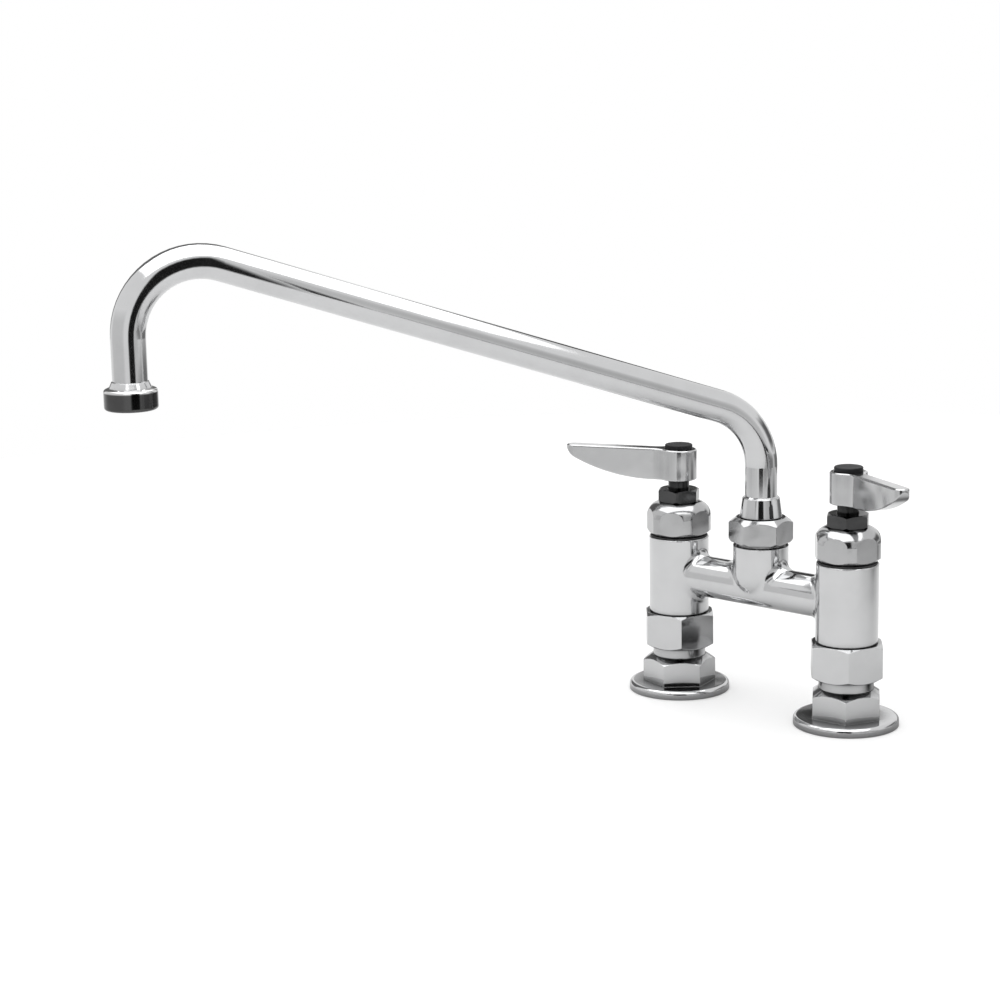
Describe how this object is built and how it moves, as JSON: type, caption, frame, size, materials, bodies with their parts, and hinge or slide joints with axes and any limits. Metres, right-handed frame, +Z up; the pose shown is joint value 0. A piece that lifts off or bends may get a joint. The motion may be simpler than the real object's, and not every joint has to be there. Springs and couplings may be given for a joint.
{
  "type": "deck-mount faucet",
  "caption": "Deck-mount bridge faucet in polished chrome with hexagon unions, domed valve bonnets, flat lever handles and a long rising swing spout.",
  "frame": {"origin": "on the deck plane under the flanges, midway between the hot and cold inlet axes", "axes": "+X from the hot inlet to the cold inlet, -Y to the user, +Z up"},
  "size_m": [0.2652, 0.3015, 0.2413],
  "materials": {
    "chrome_cast": "polished chrome plate over cast brass",
    "chrome_nut": "polished chrome plate over machined hexagon bar",
    "chrome_tube": "polished chrome plate over bent brass tube",
    "chrome_lever": "polished chrome plate over forged brass",
    "chrome_stem": "plated, turned stem",
    "chrome_bonnet": "polished chrome plate over turned hexagon bar, a little greyer",
    "dark_nut": "thin, dark nickel plate over machined hexagon bar",
    "dark_ring": "dark nickel plate over a turned ring",
    "brass": "turned brass, unplated",
    "steel": "stainless steel, as turned",
    "rubber": "black moulded rubber",
    "fibre": "pressed fibre, black with graphite",
    "nylon": "white nylon",
    "button": "moulded plastic, near black",
    "aerator_plastic": "grey moulded plastic"
  },
  "bodies": {
    "faucet_body": {"bridge_body": "chrome_cast", "swivel_nut": "chrome_bonnet", "swivel_washer": "nylon", "hot_inlet_flange": "chrome_cast", "hot_coupling_nut": "chrome_nut", "hot_retaining_ring": "steel", "hot_union_washer": "rubber", "hot_valve_seat": "brass", "hot_bonnet": "chrome_bonnet", "hot_bonnet_gasket": "fibre", "hot_packing_nut": "dark_nut", "hot_stem_packing": "fibre", "cold_inlet_flange": "chrome_cast", "cold_coupling_nut": "chrome_nut", "cold_retaining_ring": "steel", "cold_union_washer": "rubber", "cold_valve_seat": "brass", "cold_bonnet": "chrome_bonnet", "cold_bonnet_gasket": "fibre", "cold_packing_nut": "dark_nut", "cold_stem_packing": "fibre"},
    "spout": {"spout_tube": "chrome_tube", "spout_spigot": "chrome_stem", "spout_collar": "chrome_tube", "upper_o_ring": "rubber", "lower_o_ring": "rubber", "outlet_ferrule": "chrome_tube", "aerator_housing": "dark_ring", "aerator_insert": "aerator_plastic", "aerator_washer": "rubber"},
    "hot_handle": {"hot_spindle": "chrome_stem", "hot_lever": "chrome_lever", "hot_handle_screw": "steel", "hot_index_button": "button"},
    "hot_valve": {"hot_plunger": "brass", "hot_seat_washer": "rubber", "hot_washer_screw": "steel"},
    "cold_handle": {"cold_spindle": "chrome_stem", "cold_lever": "chrome_lever", "cold_handle_screw": "steel", "cold_index_button": "button"},
    "cold_valve": {"cold_plunger": "brass", "cold_seat_washer": "rubber", "cold_washer_screw": "steel"}
  },
  "joints": [
    {"name": "spout_swing", "type": "hinge", "parent": "faucet_body", "child": "spout", "pos_m": [0, 0, 0.09], "axis": [0, 0, 1], "continuous": true},
    {"name": "hot_handle_turn", "type": "hinge", "parent": "faucet_body", "child": "hot_handle", "pos_m": [-0.0508, 0, 0.1], "axis": [0, 0, 1], "range_deg": [0, 90]},
    {"name": "cold_handle_turn", "type": "hinge", "parent": "faucet_body", "child": "cold_handle", "pos_m": [0.0508, 0, 0.1], "axis": [0, 0, 1], "range_deg": [-90, 0]},
    {"name": "hot_plunger_lift", "type": "slide", "parent": "faucet_body", "child": "hot_valve", "axis": [0, 0, 1], "range_m": [0, 0.0037]},
    {"name": "cold_plunger_lift", "type": "slide", "parent": "faucet_body", "child": "cold_valve", "axis": [0, 0, 1], "range_m": [0, 0.0037]}
  ],
  "couplings": [
    {"joint": "hot_plunger_lift", "follows": "hot_handle_turn", "m_per_rad": 0.0022918},
    {"joint": "cold_plunger_lift", "follows": "cold_handle_turn", "m_per_rad": -0.0022918}
  ]
}
